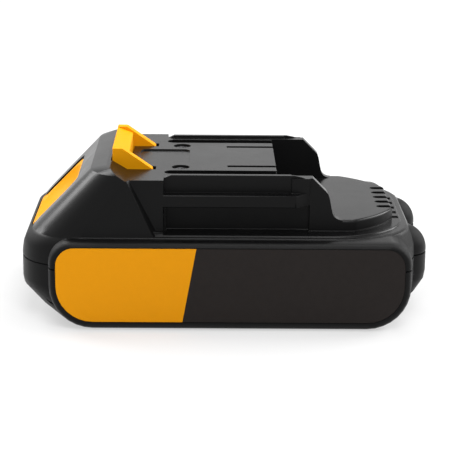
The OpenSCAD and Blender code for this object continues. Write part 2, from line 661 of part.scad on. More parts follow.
module cell_holder(side) {
    rows = side < 0 ? near_rows : far_rows;
    end_y = cell_len / 2 + holder_lip;
    color([0.16, 0.17, 0.18]) mirror([0, side < 0 ? 1 : 0, 0]) {
        difference() {
            union() {
                across(cell_len / 2 - holder_depth, end_y) holder_outline();
                // plate over the cells that carries the board and the springs
                translate([cell_x(0), 0.15, cell_z + cell_r + 0.02]) cube([cell_x(cells - 1) - cell_x(0), end_y - 0.15, holder_web - 0.02]);
            }
            for (i = [0:cells - 1]) across(0, cell_len / 2) translate([cell_x(i), cell_z]) circle(cell_r + 0.05);
            for (i = [0:cells - 2]) across(0, cell_len / 2) translate([cell_x(i) + pitch / 2, cell_z]) square([1.6, 7], center = true);
            for (i = [0:cells - 1]) across(0, end_y + 1) translate([cell_x(i), cell_z]) circle(7.4);
            for (q = rows) across(cell_len / 2, end_y + 1) {
                strip_plan(cell_x(q[0]), cell_x(q[1]), 0.3);
                tab_channel(cell_x(q[2]));
            }
            if (side < 0) thermistor_hole();
        }
        // post for a deck screw
        translate([deck_screw_x, deck_screw_y, holder_top - 0.4]) difference() {
            cylinder(h = ceiling - holder_top + 0.4, r = 3.2);
            translate([0, 0, 4]) cylinder(h = ceiling, r = screw_d / 2 + 0.05);
        }
        // spring spigot, board rests
        translate([spring_x, spring_y, holder_top - 0.4]) cylinder(h = 4.4, r = spring_r - spring_wire / 2 - 0.3);
        for (x = [board_x0 + 4, board_x1 - 6]) translate([x, board_hw - 6, holder_top - 0.4])
            cylinder(h = board_gap + 0.4, r = 1.8);
    }
}

thermistor_x = cell_x(3) + pitch / 2;
module thermistor_hole() {
    translate([thermistor_x, 6, holder_top - 3]) cylinder(h = 10, r = 2.2);
}
module cell_holder_near() { cell_holder(-1); }
module cell_holder_far() { cell_holder(1); }

// Nickel strips with a tab led over the holder and up through the board
module strip(side, q) {
    y = cell_len / 2;
    x = cell_x(q[2]);
    b = q[3];
    run_y = y - 5;
    color(nickel) mirror([0, side < 0 ? 1 : 0, 0]) {
        across(y, y + strip_t) {
            strip_plan(cell_x(q[0]), cell_x(q[1]), 0);
            translate([x - tab_w / 2, cell_z]) square([tab_w, holder_top + strip_t - cell_z]);
        }
        translate([0, 0, holder_top]) linear_extrude(strip_t) {
            translate([x - tab_w / 2, run_y - tab_w / 2]) square([tab_w, y - run_y + tab_w / 2 + strip_t]);
            translate([min(x, b) - tab_w / 2, run_y - tab_w / 2]) square([abs(b - x) + tab_w, tab_w]);
            translate([b - tab_w / 2, tab_y]) square([tab_w, run_y - tab_y]);
        }
        translate([b - tab_w / 2, tab_y, holder_top]) cube([tab_w, strip_t, board_top + 0.7 - holder_top]);
    }
}
module strip_pack_negative() { strip(-1, near_rows[0]); }
module strip_cells_2_3() { strip(-1, near_rows[1]); }
module strip_cells_4_5() { strip(-1, near_rows[2]); }
module strip_cells_1_2() { strip(1, far_rows[0]); }
module strip_cells_3_4() { strip(1, far_rows[1]); }
module strip_pack_positive() { strip(1, far_rows[2]); }

module end_insulator(side) {
    y = cell_len / 2 + holder_lip;
    color([0.86, 0.78, 0.55]) mirror([0, side < 0 ? 1 : 0, 0]) across(y, y + paper_t) holder_outline();
}
module end_insulator_near() { end_insulator(-1); }
module end_insulator_far() { end_insulator(1); }

// Board with its slots for the tabs; its end follows the round of the nose
module circuit_board() color([0.05, 0.3, 0.16]) difference() {
    translate([0, 0, board_z]) linear_extrude(board_t) intersection() {
        translate([board_x0, -board_hw]) square([board_x1 - board_x0, 2 * board_hw]);
        union() {
            nose_outline(wall + neck_in + fit);
            translate([board_x0, -board_hw]) square([nose_cx - board_x0, 2 * board_hw]);
        }
    }
    for (q = near_rows) translate([q[3] - tab_w / 2 - 0.2, -tab_y - strip_t - 0.2, 0]) cube([tab_w + 0.4, strip_t + 0.4, 60]);
    for (q = far_rows) translate([q[3] - tab_w / 2 - 0.2, tab_y - 0.2, 0]) cube([tab_w + 0.4, strip_t + 0.4, 60]);
    translate([thermistor_x, -6, 0]) for (x = [-0.8, 0.8]) translate([x, 0, 0]) cylinder(h = 60, r = 0.4);
}

clip_x0 = block_x1 - power_slot_len + 0.8;
clip_pad = 0.1;
carrier_rim = 0.5;

module terminal_carrier() color([0.12, 0.12, 0.13]) difference() {
    room = clip_w + 2 * clip_pad;
    hw = power_y + clip_w;
    translate([clip_x0 - carrier_rim - clip_pad, -hw, board_top])
        cube([block_x1 - wall - fit - clip_x0 + carrier_rim + clip_pad, 2 * hw, carrier_h]);
    for (y = [-power_y, 0, power_y]) translate([clip_x0 - clip_pad, y - room / 2, board_top - 1])
        cube([clip_len + 2 * clip_pad, room, carrier_h + 2]);
    both_sides() translate([clip_x0 - 2, room / 2 + carrier_rim, board_top + 1.6])
        cube([clip_len + 4, power_y - room - 2 * carrier_rim, carrier_h]);
}

// Female contact: two leaves bent from one base, flared where the blade enters
module clip(y, h) {
    t = clip_t;
    w = clip_w / 2;
    len = clip_len;
    color(nickel) translate([clip_x0, y, board_top]) {
        translate([0, -w, 0]) cube([len, clip_w, t]);
        both_sides() linear_extrude(h) polygon([[0, w], [0, w - t], [2.6, w - t], [len - 3.6, 0.35], [len - 1.6, 0.35],
            [len, 1.2], [len, 1.2 + t], [len - 1.7, 0.4 + t], [len - 3.4, 0.4 + t], [2.8, w]]);
    }
}
module terminal_positive() { clip(power_y, clip_h - 0.6); }
module terminal_negative() { clip(-power_y, clip_h - 0.6); }
module terminal_signal() { clip(0, clip_h - 2.6); }

// Flat packages, low enough to lie under the nose deck
module power_transistors() color([0.1, 0.1, 0.1]) both_sides()
    translate([clip_x0 + 22.4, 7.2, board_top]) {
        cube([5.2, 5.2, 1.1]);
        for (i = [0:3]) translate([-0.5, 0.45 + 1.27 * i, 0]) cube([6.2, 0.5, 0.3]);
    }

module controller_chip() color([0.1, 0.1, 0.11]) translate([clip_x0 + 14, -4.4, board_top]) {
    cube([6, 8.8, 1.2]);
    for (i = [0:5]) translate([-1, 0.6 + 1.4 * i, 0]) cube([8, 0.5, 0.4]);
}

module current_shunt() color(steel) translate([clip_x0 + 14, -14.2, board_top]) {
    cube([7, 3.4, 0.9]);
}

module thermistor() color([0.15, 0.13, 0.12]) translate([thermistor_x, -6, 0]) {
    translate([0, 0, board_z - 2.6]) sphere(1.5);
    for (x = [-0.8, 0.8]) translate([x, 0, board_z - 2.6]) cylinder(h = board_t + 3.4, r = 0.3);
}

// Sticker on the near panel, two printed fields that meet on a slant
split_top = row_x - 9;
split_low = split_top - 4.5;
module label_side(left) {
    z1 = panel_h;
    polygon(left ? [[panel_x0, 0], [split_low, 0], [split_top, z1], [panel_x0, z1]]
        : [[panel_x1, 0], [split_low, 0], [split_top, z1], [panel_x1, z1]]);
}
module label_accent_field() color(orange)
    across(-case_hw + 0.05, -case_hw + 0.3) intersection() { label_outline(0); label_side(true); }
module label_main_field() color([0.2, 0.19, 0.19])
    across(-case_hw + 0.05, -case_hw + 0.3) intersection() { label_outline(0); label_side(false); }

lower_case();
upper_case();
release_latch();
latch_spring_near();
latch_spring_far();
deck_screws();
case_screws();
cell_holder_near();
cell_holder_far();
cell_1();
cell_2();
cell_3();
cell_4();
cell_5();
cell_sleeves();
cell_washers();
strip_pack_negative();
strip_cells_1_2();
strip_cells_2_3();
strip_cells_3_4();
strip_cells_4_5();
strip_pack_positive();
end_insulator_near();
end_insulator_far();
circuit_board();
terminal_carrier();
terminal_positive();
terminal_negative();
terminal_signal();
power_transistors();
controller_chip();
current_shunt();
thermistor();
label_main_field();
label_accent_field();
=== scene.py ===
"""Slide-on battery pack: finishes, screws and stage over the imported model."""

import json
import math

import bpy
from mathutils import Matrix, Vector
from mathutils.bvhtree import BVHTree


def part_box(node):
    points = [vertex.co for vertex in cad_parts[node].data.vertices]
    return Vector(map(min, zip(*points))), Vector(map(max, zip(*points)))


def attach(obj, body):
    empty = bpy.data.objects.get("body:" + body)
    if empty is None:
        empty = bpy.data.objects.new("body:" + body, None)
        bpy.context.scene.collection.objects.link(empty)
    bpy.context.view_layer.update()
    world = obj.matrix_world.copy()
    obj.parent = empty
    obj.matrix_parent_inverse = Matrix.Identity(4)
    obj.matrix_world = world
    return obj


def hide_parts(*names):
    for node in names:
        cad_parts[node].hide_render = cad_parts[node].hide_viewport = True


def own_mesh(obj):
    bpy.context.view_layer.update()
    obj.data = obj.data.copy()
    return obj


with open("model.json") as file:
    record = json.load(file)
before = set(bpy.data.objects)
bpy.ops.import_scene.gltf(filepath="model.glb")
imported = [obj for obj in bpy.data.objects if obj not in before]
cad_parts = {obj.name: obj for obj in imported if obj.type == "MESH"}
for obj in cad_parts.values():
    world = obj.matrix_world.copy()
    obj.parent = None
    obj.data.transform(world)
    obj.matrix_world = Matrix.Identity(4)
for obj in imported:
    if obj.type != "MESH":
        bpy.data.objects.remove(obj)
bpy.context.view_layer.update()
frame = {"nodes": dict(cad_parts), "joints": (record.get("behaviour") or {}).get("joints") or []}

bl_info = {
    "name": "Slide-on battery pack",
    "version": (1, 0, 0),
    "blender": (4, 5, 0),
    "location": "View3D > Sidebar > Battery pack",
    "description": "Shells, latch, label, screws, cells, board and stage of a slide-on battery pack",
    "category": "Object",
}

MM = 0.001

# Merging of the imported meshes
MERGE_REACH = 0.012 * MM
FLAT_TURN = math.radians(0.6)

# Which edges are rounded: the folds, as far as enough ways out from them are clear
SHELL_FOLD = math.radians(38)
TRIM_FOLD = math.radians(33)
STRAIGHT = math.radians(150)
THINNEST = 0.03 * MM
LEAST_WAYS = 3
WAYS_OUT = [Vector((x, y, z)).normalized()
            for x in (-1, 0, 1) for y in (-1, 0, 1) for z in (-1, 0, 1) if x or y or z]

# The crease below the top of the head, which is rounded too, and the label recess, which isn't
BROW_DROP = 1.25 * MM
BROW_BAND = 0.06 * MM
RECESS_SLACK = 0.05 * MM

# How much of the depth of its faces and the length of its neighbours an edge may take
DEPTH_PLACES = (0.08, 0.5, 0.92)
LEAST_DEPTH = 0.0001 * MM
DEPTH_SHARE = 0.42
SHARED_REACH = 0.45
FREE_REACH = 0.9
ROOM_PASSES = 4
ROOM_STEP = 0.35
LEAST_ROOM = 0.12

# How the rounding is made, and when a face counts as wrongly filled
ROUND_SEGMENTS = 2
FILM_SEGMENTS = 1
ROUNDING_TRIES = 8
MISFILL = 0.1 * MM * MM
MOST_SURE_CORNERS = 4

# Shading of round faces
MOULDED_TURN = math.radians(40)
SCREW_TURN = math.radians(35)
WIRE_TURN = math.radians(60)
FLAT_WEIGHT = 60

# Label fields: each has a name, a colour and how far its ink varies from that colour
LABEL_FIELDS = (("accent", "label_orange", 0.05), ("main", "label_charcoal", 0.22))

# Screws
SCREW_HEAD_R = 2.3 * MM
SCREW_HEAD_H = 1.8 * MM
SCREW_CORE_R = 1.12 * MM
SCREW_RIDGE = 0.32 * MM
SCREW_POINT = 1.4 * MM
POINT_SHARE = 0.35
SLOT_FLOOR = 0.8 * MM
SLOT_SIZE = (3.0 * MM, 0.78 * MM, 1.4 * MM)
SLOT_TAPER = 0.6
HEAD_SIDES = 40
CROWN_SEGMENTS = 5
CORE_SIDES = 24
RIDGE_SIDES = 4
THREAD_STEPS = 20
DECK_SCREW_ANGLE = math.radians(20)
NOSE_SCREW_Y = 15 * MM

# Stretch of the scratches in a metal, small along the way that they run
EVEN = (1.0, 1.0, 1.0)
ALONG_X = (0.2, 1.0, 1.0)
ALONG_Y = (1.0, 0.2, 1.0)
ALONG_Z = (1.0, 1.0, 0.2)

# Colours of the pieces inside
CELL_STEEL = (0.55, 0.55, 0.56)
SPRING_STEEL = (0.5, 0.5, 0.51)
NICKEL = (0.66, 0.63, 0.57)
TIN = (0.7, 0.66, 0.56)
SHUNT_ALLOY = (0.5, 0.44, 0.36)
WASHER_FIBRE = (0.78, 0.76, 0.68)
INSULATOR_FIBRE = (0.62, 0.5, 0.24)
HOLDER_BLACK = (0.022, 0.023, 0.025)
CARRIER_BLACK = (0.014, 0.014, 0.015)
CHIP_BLACK = (0.01, 0.01, 0.011)
BEAD_BROWN = (0.02, 0.015, 0.012)

# Stage: each lamp has a name, a place, a width and a power
WHITE = (1.0, 1.0, 1.0)
FLOOR_DROP = 0.05 * MM
FLOOR_GLOW = 0.55
WORLD_LIGHT = 0.2
LAMP_TARGET = (0, 0, 20 * MM)
LAMPS = (
    ("key_softbox", (-0.62, 0.55, 0.62), 0.7, 9.0),
    ("top_softbox", (0.15, 0.1, 1.1), 0.7, 5.0),
    ("front_softbox", (0.1, -0.8, 1.0), 0.7, 10.0),
    ("side_softbox", (0.75, 0.35, 0.5), 0.6, 8.0),
)
VIEW_TURN = math.radians(-0.6)
VIEW_LIFT = math.radians(15.25)
VIEW_ROLL = math.radians(0.5)
SENSOR_WIDTH = 36
NEAREST_SEEN = 10 * MM


# What a user would change

class PackSizes(bpy.types.PropertyGroup):
    """Sizes of the roundings, the screws and the stage."""

    shell_edge: bpy.props.FloatProperty(
        name="Shell edge", description="Rounding of the moulded shell edges",
        default=0.28 * MM, unit="LENGTH", precision=5)
    latch_edge: bpy.props.FloatProperty(
        name="Latch edge", description="Rounding of the latch edges",
        default=0.3 * MM, unit="LENGTH", precision=5)
    film_edge: bpy.props.FloatProperty(
        name="Film edge", description="Rounding of the label film",
        default=0.06 * MM, unit="LENGTH", precision=5)
    screw_crown: bpy.props.FloatProperty(
        name="Screw crown", description="Rounding of the screw heads",
        default=0.75 * MM, unit="LENGTH", precision=5)
    thread_pitch: bpy.props.FloatProperty(
        name="Thread pitch", description="Rise of the screw thread in one turn",
        default=1.1 * MM, unit="LENGTH", precision=5)
    floor_width: bpy.props.FloatProperty(
        name="Floor width", description="Width of the studio floor",
        default=6.0, unit="LENGTH")
    view_distance: bpy.props.FloatProperty(
        name="View distance", description="From the camera to the middle of the pack",
        default=0.493, unit="LENGTH")
    view_height: bpy.props.FloatProperty(
        name="View height", description="Height of the point that the camera looks at",
        default=20.1 * MM, unit="LENGTH", precision=5)
    view_lens: bpy.props.FloatProperty(
        name="Lens", description="Focal length in millimetres", default=134.8)


class PackColours(bpy.types.PropertyGroup):
    """Colours of the outer pieces, the sleeves, the board and the floor."""

    case_black: bpy.props.FloatVectorProperty(
        name="Case black", description="Moulded shells", subtype="COLOR", size=3,
        default=(0.0026, 0.0026, 0.0027))
    latch_orange: bpy.props.FloatVectorProperty(
        name="Latch orange", description="Release latch", subtype="COLOR", size=3,
        default=(0.88, 0.36, 0.003))
    label_orange: bpy.props.FloatVectorProperty(
        name="Label orange", description="Small printed field", subtype="COLOR", size=3,
        default=(0.72, 0.285, 0.0028))
    label_charcoal: bpy.props.FloatVectorProperty(
        name="Label charcoal", description="Large printed field", subtype="COLOR", size=3,
        default=(0.019, 0.016, 0.015))
    screw_steel: bpy.props.FloatVectorProperty(
        name="Screw steel", description="Plated screws", subtype="COLOR", size=3,
        default=(0.16, 0.16, 0.165))
    sleeve_blue: bpy.props.FloatVectorProperty(
        name="Sleeve blue", description="Shrink sleeves of the cells", subtype="COLOR", size=3,
        default=(0.03, 0.16, 0.32))
    board_green: bpy.props.FloatVectorProperty(
        name="Board green", description="Lacquer of the circuit board", subtype="COLOR", size=3,
        default=(0.008, 0.09, 0.03))
    floor_white: bpy.props.FloatVectorProperty(
        name="Floor white", description="Studio floor", subtype="COLOR", size=3,
        default=(0.72, 0.72, 0.72))


# Shader maths and nodes

class Level:
    """A number that varies over a surface; sums on it add Math nodes."""

    def __init__(self, finish, socket):
        self.finish = finish
        self.socket = socket

    def work(self, operation, *terms):
        """One Math node on some terms."""
        made = self.finish.node("ShaderNodeMath", {"operation": operation}, dict(enumerate(terms)))
        return Level(self.finish, made.outputs[0])

    def __add__(self, other):
        return self.work("ADD", self, other)

    def __radd__(self, other):
        return self.work("ADD", other, self)

    def __sub__(self, other):
        return self.work("SUBTRACT", self, other)

    def __rsub__(self, other):
        return self.work("SUBTRACT", other, self)

    def __mul__(self, other):
        return self.work("MULTIPLY", self, other)

    def __rmul__(self, other):
        return self.work("MULTIPLY", other, self)

    def above(self, edge, soft):
        """0 below the edge, 1 above it, with a soft step."""
        made = self.finish.node(
            "ShaderNodeMapRange", {"interpolation_type": "SMOOTHSTEP"},
            {"Value": self, "From Min": edge - soft, "From Max": edge + soft})
        return Level(self.finish, made.outputs["Result"])

    def swing(self, width):
        """A change from minus to plus half the width, as the level goes from 0 to 1."""
        return width * (self - 0.5)

    def wave(self, length):
        """A sine from -1 to 1 that repeats after a length."""
        angle = self * (2 * math.pi / length)
        return self.work("SINE", angle)


class Finish:
    """A material or world made of nodes."""

    def __init__(self, name, owner=None):
        self.block = owner or bpy.data.materials.new(name)
        self.block.use_nodes = True
        self.tree = self.block.node_tree
        self.tree.nodes.clear()
        self.place = None

    def node(self, kind, settings=None, inputs=None):
        """Any node: its settings first, then the values or links of its sockets."""
        made = self.tree.nodes.new(kind)
        for key, value in (settings or {}).items():
            setattr(made, key, value)
        for key, value in (inputs or {}).items():
            self.feed(made.inputs[key], value)
        return made

    def feed(self, target, value):
        """Link a level or socket to a target, or give the target a value."""
        if isinstance(value, Level):
            self.tree.links.new(value.socket, target)
        elif isinstance(value, bpy.types.NodeSocket):
            self.tree.links.new(value, target)
        elif target.type == "RGBA" and len(value) == 3:
            target.default_value = (*value, 1.0)
        else:
            target.default_value = value

    def coordinates(self):
        """The place on the piece, from one node for the whole finish."""
        if self.place is None:
            self.place = self.node("ShaderNodeTexCoord").outputs["Object"]
        return self.place

    def axes(self, vector=None):
        """The three parts of a vector, or of the place on the piece."""
        made = self.node("ShaderNodeSeparateXYZ", None, {0: vector or self.coordinates()})
        return [Level(self, part) for part in made.outputs]

    def stretched(self, scale):
        """The place on the piece, scaled along each axis."""
        return self.node("ShaderNodeMapping", None,
                         {"Vector": self.coordinates(), "Scale": scale}).outputs[0]

    def noise(self, size, detail=2.0, rough=0.5, place=None):
        """Cloudy noise from 0 to 1 with spots of about a size."""
        made = self.node("ShaderNodeTexNoise", None, {
            "Vector": place or self.coordinates(), "Scale": 1.0 / size,
            "Detail": detail, "Roughness": rough})
        return Level(self, made.outputs["Fac"])

    def cells(self, size):
        """Round pits of about a size, deepest in their middles."""
        made = self.node("ShaderNodeTexVoronoi", {"feature": "F1"}, {
            "Vector": self.coordinates(), "Scale": 1.0 / size})
        return Level(self, made.outputs["Distance"])

    def tones(self, share, colour, dark, light):
        """From a darker to a lighter shade of a colour; sockets 6 and 7 of the node are its colours."""
        made = self.node("ShaderNodeMix", {"data_type": "RGBA"},
                         {0: share, 6: shade(colour, dark), 7: shade(colour, light)})
        return made.outputs[2]

    def bump(self, height, distance, strength):
        """A normal raised by a height."""
        inputs = {"Height": height, "Distance": distance, "Strength": strength}
        return self.node("ShaderNodeBump", None, inputs).outputs[0]

    def seen(self):
        """1 on rays that show the finish itself, direct, mirrored or through, and 0 on the rest."""
        rays = self.node("ShaderNodeLightPath").outputs
        shown = Level(self, rays["Is Camera Ray"])
        for kind in ("Is Glossy Ray", "Is Transmission Ray"):
            shown = shown.work("MAXIMUM", shown, rays[kind])
        return shown

    def surface(self, **inputs):
        """The shader of a material, with sockets named as arguments."""
        named = {key.replace("_", " "): value for key, value in inputs.items()}
        shader = self.node("ShaderNodeBsdfPrincipled", None, named)
        self.node("ShaderNodeOutputMaterial", None, {"Surface": shader.outputs[0]})

    def put_on(self, *pieces):
        """Make this the only material of some pieces."""
        for piece in pieces:
            piece.data.materials.clear()
            piece.data.materials.append(self.block)


def shade(colour, factor):
    """A darker or lighter colour of the same hue."""
    return tuple(min(1.0, part * factor) for part in colour)


# Finishes

def case_plastic(colour):
    """Black moulding: spark texture, smoother on the upward faces of the deck, duller on low ones."""
    f = Finish("case_plastic")
    up = f.axes(f.node("ShaderNodeNewGeometry").outputs["Normal"])[2]
    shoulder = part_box("circuit_board")[1].z
    raised = f.axes()[2].above(shoulder, soft=0.5 * MM)
    polished = up.above(0.56, soft=0.1) * raised
    dull = up.above(0.4, soft=0.2) * (1 - raised)
    grain = f.cells(0.34 * MM)
    fine = f.noise(0.16 * MM)
    cloud = f.noise(21 * MM, detail=3.0)
    smear = f.noise(5 * MM, detail=4.0, rough=0.6)
    texture = 1 - 0.8 * polished
    uneven = cloud.swing(0.1) + smear.swing(0.08) + fine.swing(0.08) * texture
    relief = grain * texture + 0.3 * fine
    f.surface(Base_Color=f.tones(0.5 * cloud + 0.5 * fine, colour, dark=0.75, light=1.3),
              Roughness=0.42 + uneven - 0.18 * polished + 0.2 * dull, IOR=1.22,
              Normal=f.bump(relief, distance=0.01 * MM, strength=0.5))
    return f


def latch_plastic(colour):
    """Orange moulding with faint flow clouds and a satin face."""
    f = Finish("latch_plastic")
    cloud = f.noise(9 * MM, detail=3.0, rough=0.55)
    fine = f.noise(0.2 * MM)
    flow = f.noise(2.2 * MM, detail=3.0, place=f.stretched((1.0, 0.25, 1.0)))
    f.surface(Base_Color=f.tones(0.6 * cloud + 0.4 * flow, colour, dark=0.93, light=1.04),
              Roughness=0.55 + cloud.swing(0.1) + fine.swing(0.08), IOR=1.16,
              Normal=f.bump(fine, distance=0.006 * MM, strength=0.4))
    return f


def label_film(name, colour, depth):
    """Printed film: fine ink grain under a satin skin with a slight ripple."""
    f = Finish(name)
    ink = f.noise(0.22 * MM)
    mottle = f.noise(1.6 * MM, detail=3.0)
    ripple = f.noise(3.2 * MM, detail=1.0)
    f.surface(Base_Color=f.tones(0.55 * ink + 0.45 * mottle, colour, dark=1 - depth, light=1 + depth),
              Roughness=0.34 + mottle.swing(0.1) + ink.swing(0.08), IOR=1.15,
              Normal=f.bump(ripple + 0.12 * ink, distance=0.01 * MM, strength=0.35))
    return f


def plated_metal(name, colour, rough, scratch):
    """Bare or plated metal with fine scratches and a cloudy sheen."""
    f = Finish(name)
    cloud = f.noise(3 * MM, detail=3.0)
    drawn = f.noise(0.3 * MM, detail=3.0, rough=0.6, place=f.stretched(scratch))
    f.surface(Base_Color=f.tones(0.6 * cloud + 0.4 * drawn, colour, dark=0.82, light=1.12),
              Metallic=1.0, Roughness=rough + cloud.swing(0.16) + drawn.swing(0.2),
              Normal=f.bump(drawn, distance=0.004 * MM, strength=0.35))
    return f


def moulded(name, colour, rough):
    """Plain inner moulding with a light cloud and fine texture."""
    f = Finish(name)
    cloud = f.noise(8 * MM, detail=3.0)
    fine = f.noise(0.25 * MM)
    f.surface(Base_Color=f.tones(0.6 * cloud + 0.4 * fine, colour, dark=0.8, light=1.2),
              Roughness=rough + cloud.swing(0.12),
              Normal=f.bump(fine, distance=0.01 * MM, strength=0.4))
    return f


def fibre_card(name, colour):
    """Pressed fibre sheet with short random fibres."""
    f = Finish(name)
    fibre = f.noise(0.5 * MM, detail=4.0, rough=0.65, place=f.stretched((0.3, 1.0, 1.6)))
    cloud = f.noise(6 * MM)
    f.surface(Base_Color=f.tones(0.7 * fibre + 0.3 * cloud, colour, dark=0.78, light=1.12),
              Roughness=0.72 + fibre.swing(0.2),
              Normal=f.bump(fibre, distance=0.03 * MM, strength=0.5))
    return f


def shrink_sleeve(colour):
    """Thin film shrunk on the cells, with small wrinkles along it."""
    f = Finish("shrink_sleeve")
    wrinkle = f.noise(1.4 * MM, place=f.stretched((1.0, 0.15, 1.0)))
    cloud = f.noise(10 * MM)
    f.surface(Base_Color=f.tones(cloud, colour, dark=0.85, light=1.15),
              Roughness=0.28 + wrinkle.swing(0.15),
              Normal=f.bump(wrinkle, distance=0.03 * MM, strength=0.3))
    return f


def board_laminate(colour):
    """Lacquered board with woven glass and lighter tracks showing through."""
    f = Finish("board_laminate")
    warp, weft = (axis.wave(0.9 * MM) for axis in f.axes()[:2])
    weave = 0.5 + 0.25 * warp * weft
    tracks = f.noise(3.4 * MM, detail=0.0).above(0.52, soft=0.01)
    f.surface(Base_Color=f.tones(0.7 * tracks + 0.3 * weave, colour, dark=0.8, light=1.9),
              Roughness=0.3 + 0.1 * weave,
              Normal=f.bump(tracks + 0.2 * weave, distance=0.02 * MM, strength=0.4))
    return f


# Modelling helpers

def deselect():
    """Leave edit mode and select nothing."""
    if bpy.context.object and bpy.context.object.mode != "OBJECT":
        bpy.ops.object.mode_set(mode="OBJECT")
    bpy.ops.object.select_all(action="DESELECT")


def hold(piece):
    """Select one piece alone and make it active."""
    deselect()
    piece.select_set(True)
    bpy.context.view_layer.objects.active = piece


def solid_copy(node, name):
    """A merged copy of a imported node, with its flat faces joined."""
    source = frame["nodes"][node]
    piece = bpy.data.objects.new(name, source.data.copy())
    bpy.context.scene.collection.objects.link(piece)
    piece.data.name = name
    hold(piece)
    bpy.ops.mesh.customdata_custom_splitnormals_clear()
    bpy.ops.object.mode_set(mode="EDIT")
    bpy.ops.mesh.select_mode(type="VERT")
    bpy.ops.mesh.select_all(action="SELECT")
    bpy.ops.mesh.remove_doubles(threshold=MERGE_REACH)
    bpy.ops.mesh.dissolve_degenerate(threshold=MERGE_REACH)
    bpy.ops.mesh.select_all(action="SELECT")
    bpy.ops.mesh.dissolve_limited(angle_limit=FLAT_TURN)
    bpy.ops.object.mode_set(mode="OBJECT")
    return piece


# Edge rounding

def outlook(*nodes):
    """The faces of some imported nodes, to tell what they hide from outside."""
    points = []
    faces = []
    for node in nodes:
        mesh = frame["nodes"][node].data
        first = len(points)
        points.extend(vertex.co for vertex in mesh.vertices)
        faces.extend([first + v for v in face.vertices] for face in mesh.polygons)
    return BVHTree.FromPolygons(points, faces)


def in_sight(tree, ends, pair):
    """Whether enough straight ways out from the middle of an edge meet nothing."""
    outward = (pair[0].normal + pair[1].normal).normalized()
    start = (ends[0] + ends[1]) / 2 + outward * THINNEST
    clear = [way for way in WAYS_OUT if way.dot(outward) > 0 and tree.ray_cast(start, way)[0] is None]
    return len(clear) >= LEAST_WAYS


def edge_ends(mesh, edge):
    """Where the two ends of an edge are."""
    return [mesh.vertices[v].co for v in edge.vertices]


def far_end(edge, corner):
    """The corner at the other end of an edge."""
    first, second = edge.vertices
    return first if second == corner else second


def faces_by_edge(mesh):
    """The faces that meet at each edge."""
    faces = {}
    for face in mesh.polygons:
        for key in face.edge_keys:
            faces.setdefault(key, []).append(face)
    return faces


def edges_by_corner(mesh):
    """The edges that meet at each corner."""
    edges = [[] for _ in mesh.vertices]
    for edge in mesh.edges:
        for corner in edge.vertices:
            edges[corner].append(edge)
    return edges


def sharp_edges(mesh, faces, fold, crease, spare, tree):
    """The folded edges and those on a crease, apart from spared ones and ones out of sight."""
    limit = math.cos(fold)
    sharp = set()
    for edge in mesh.edges:
        pair = faces.get(edge.key, ())
        ends = edge_ends(mesh, edge)
        folded = (len(pair) == 2 and pair[0].normal.dot(pair[1].normal) < limit
                  and not any(sliver(mesh, face) for face in pair))
        wanted = (folded or all(map(crease, ends))) and not all(map(spare, ends))
        if wanted and (tree is None or len(pair) != 2 or in_sight(tree, ends, pair)):
            sharp.add(edge.index)
    return sharp


def edge_room(mesh, edge, faces, edges, sharp, width):
    """How much of the full rounding one edge has room for, from 0 to 1."""
    room = 1.0
    for face in faces[edge.key]:
        room = min(room, DEPTH_SHARE * face_depth(mesh, face, edge) / width)
    for here, there in (edge.vertices, reversed(edge.vertices)):
        origin = mesh.vertices[here].co
        along = mesh.vertices[there].co - origin
        for other in edges[here]:
            if other.index == edge.index:
                continue
            far = far_end(other, here)
            side = mesh.vertices[far].co - origin
            turn = along.angle(side, 0.0)
            if turn > STRAIGHT:
                continue
            shared = any(each.index in sharp for each in (other, *edges[far]))
            reach = (SHARED_REACH if shared else FREE_REACH) * side.length * math.sin(turn)
            if other.index in sharp:
                reach = min(reach, SHARED_REACH * along.length * math.tan(turn / 2))
            room = min(room, reach / width)
    return room


def edge_rooms(mesh, width, fold, crease, spare, tree):
    """The room of every edge, with no sudden step where one edge runs on from another."""
    faces = faces_by_edge(mesh)
    edges = edges_by_corner(mesh)
    sharp = sharp_edges(mesh, faces, fold, crease, spare, tree)
    rooms = [0.0] * len(mesh.edges)
    for index in sharp:
        rooms[index] = edge_room(mesh, mesh.edges[index], faces, edges, sharp, width)
    for _ in range(ROOM_PASSES):
        for index in sharp:
            edge = mesh.edges[index]
            for corner in edge.vertices:
                for other in edges[corner]:
                    if other.index in sharp and runs_on(mesh, edge, other, corner):
                        rooms[index] = min(rooms[index], rooms[other.index] + ROOM_STEP)
    return [room if room > LEAST_ROOM else 0.0 for room in rooms]


def face_depth(mesh, face, edge):
    """How far a face reaches inwards from one of its edges, at its narrowest sample."""
    ring = list(face.vertices)
    here, there = edge.vertices
    if ring[(ring.index(here) + 1) % len(ring)] != there:
        here, there = there, here
    first = mesh.vertices[here].co
    along = mesh.vertices[there].co - first
    length = along.length
    along = along / length
    inward = face.normal.cross(along)
    points = [mesh.vertices[v].co - first for v in ring]
    flat = [(point.dot(along), point.dot(inward)) for point in points]
    depth = 1.0
    for share in DEPTH_PLACES:
        u = share * length
        for (u0, v0), (u1, v1) in zip(flat, flat[1:] + flat[:1]):
            if (u0 - u) * (u1 - u) < 0:
                v = v0 + (v1 - v0) * (u - u0) / (u1 - u0)
                if v > LEAST_DEPTH:
                    depth = min(depth, v)
    return depth


def sliver(mesh, face):
    """Whether a face is too thin to have a true normal."""
    ring = [mesh.vertices[v].co for v in face.vertices]
    longest = max((a - b).length for a, b in zip(ring, ring[1:] + ring[:1]))
    return face.area < longest * THINNEST


def runs_on(mesh, edge, other, corner):
    """Whether two edges run on from each other at a corner."""
    if edge.index == other.index:
        return False
    origin = mesh.vertices[corner].co
    one, two = (mesh.vertices[far_end(each, corner)].co - origin for each in (edge, other))
    return one.angle(two, 0.0) > STRAIGHT


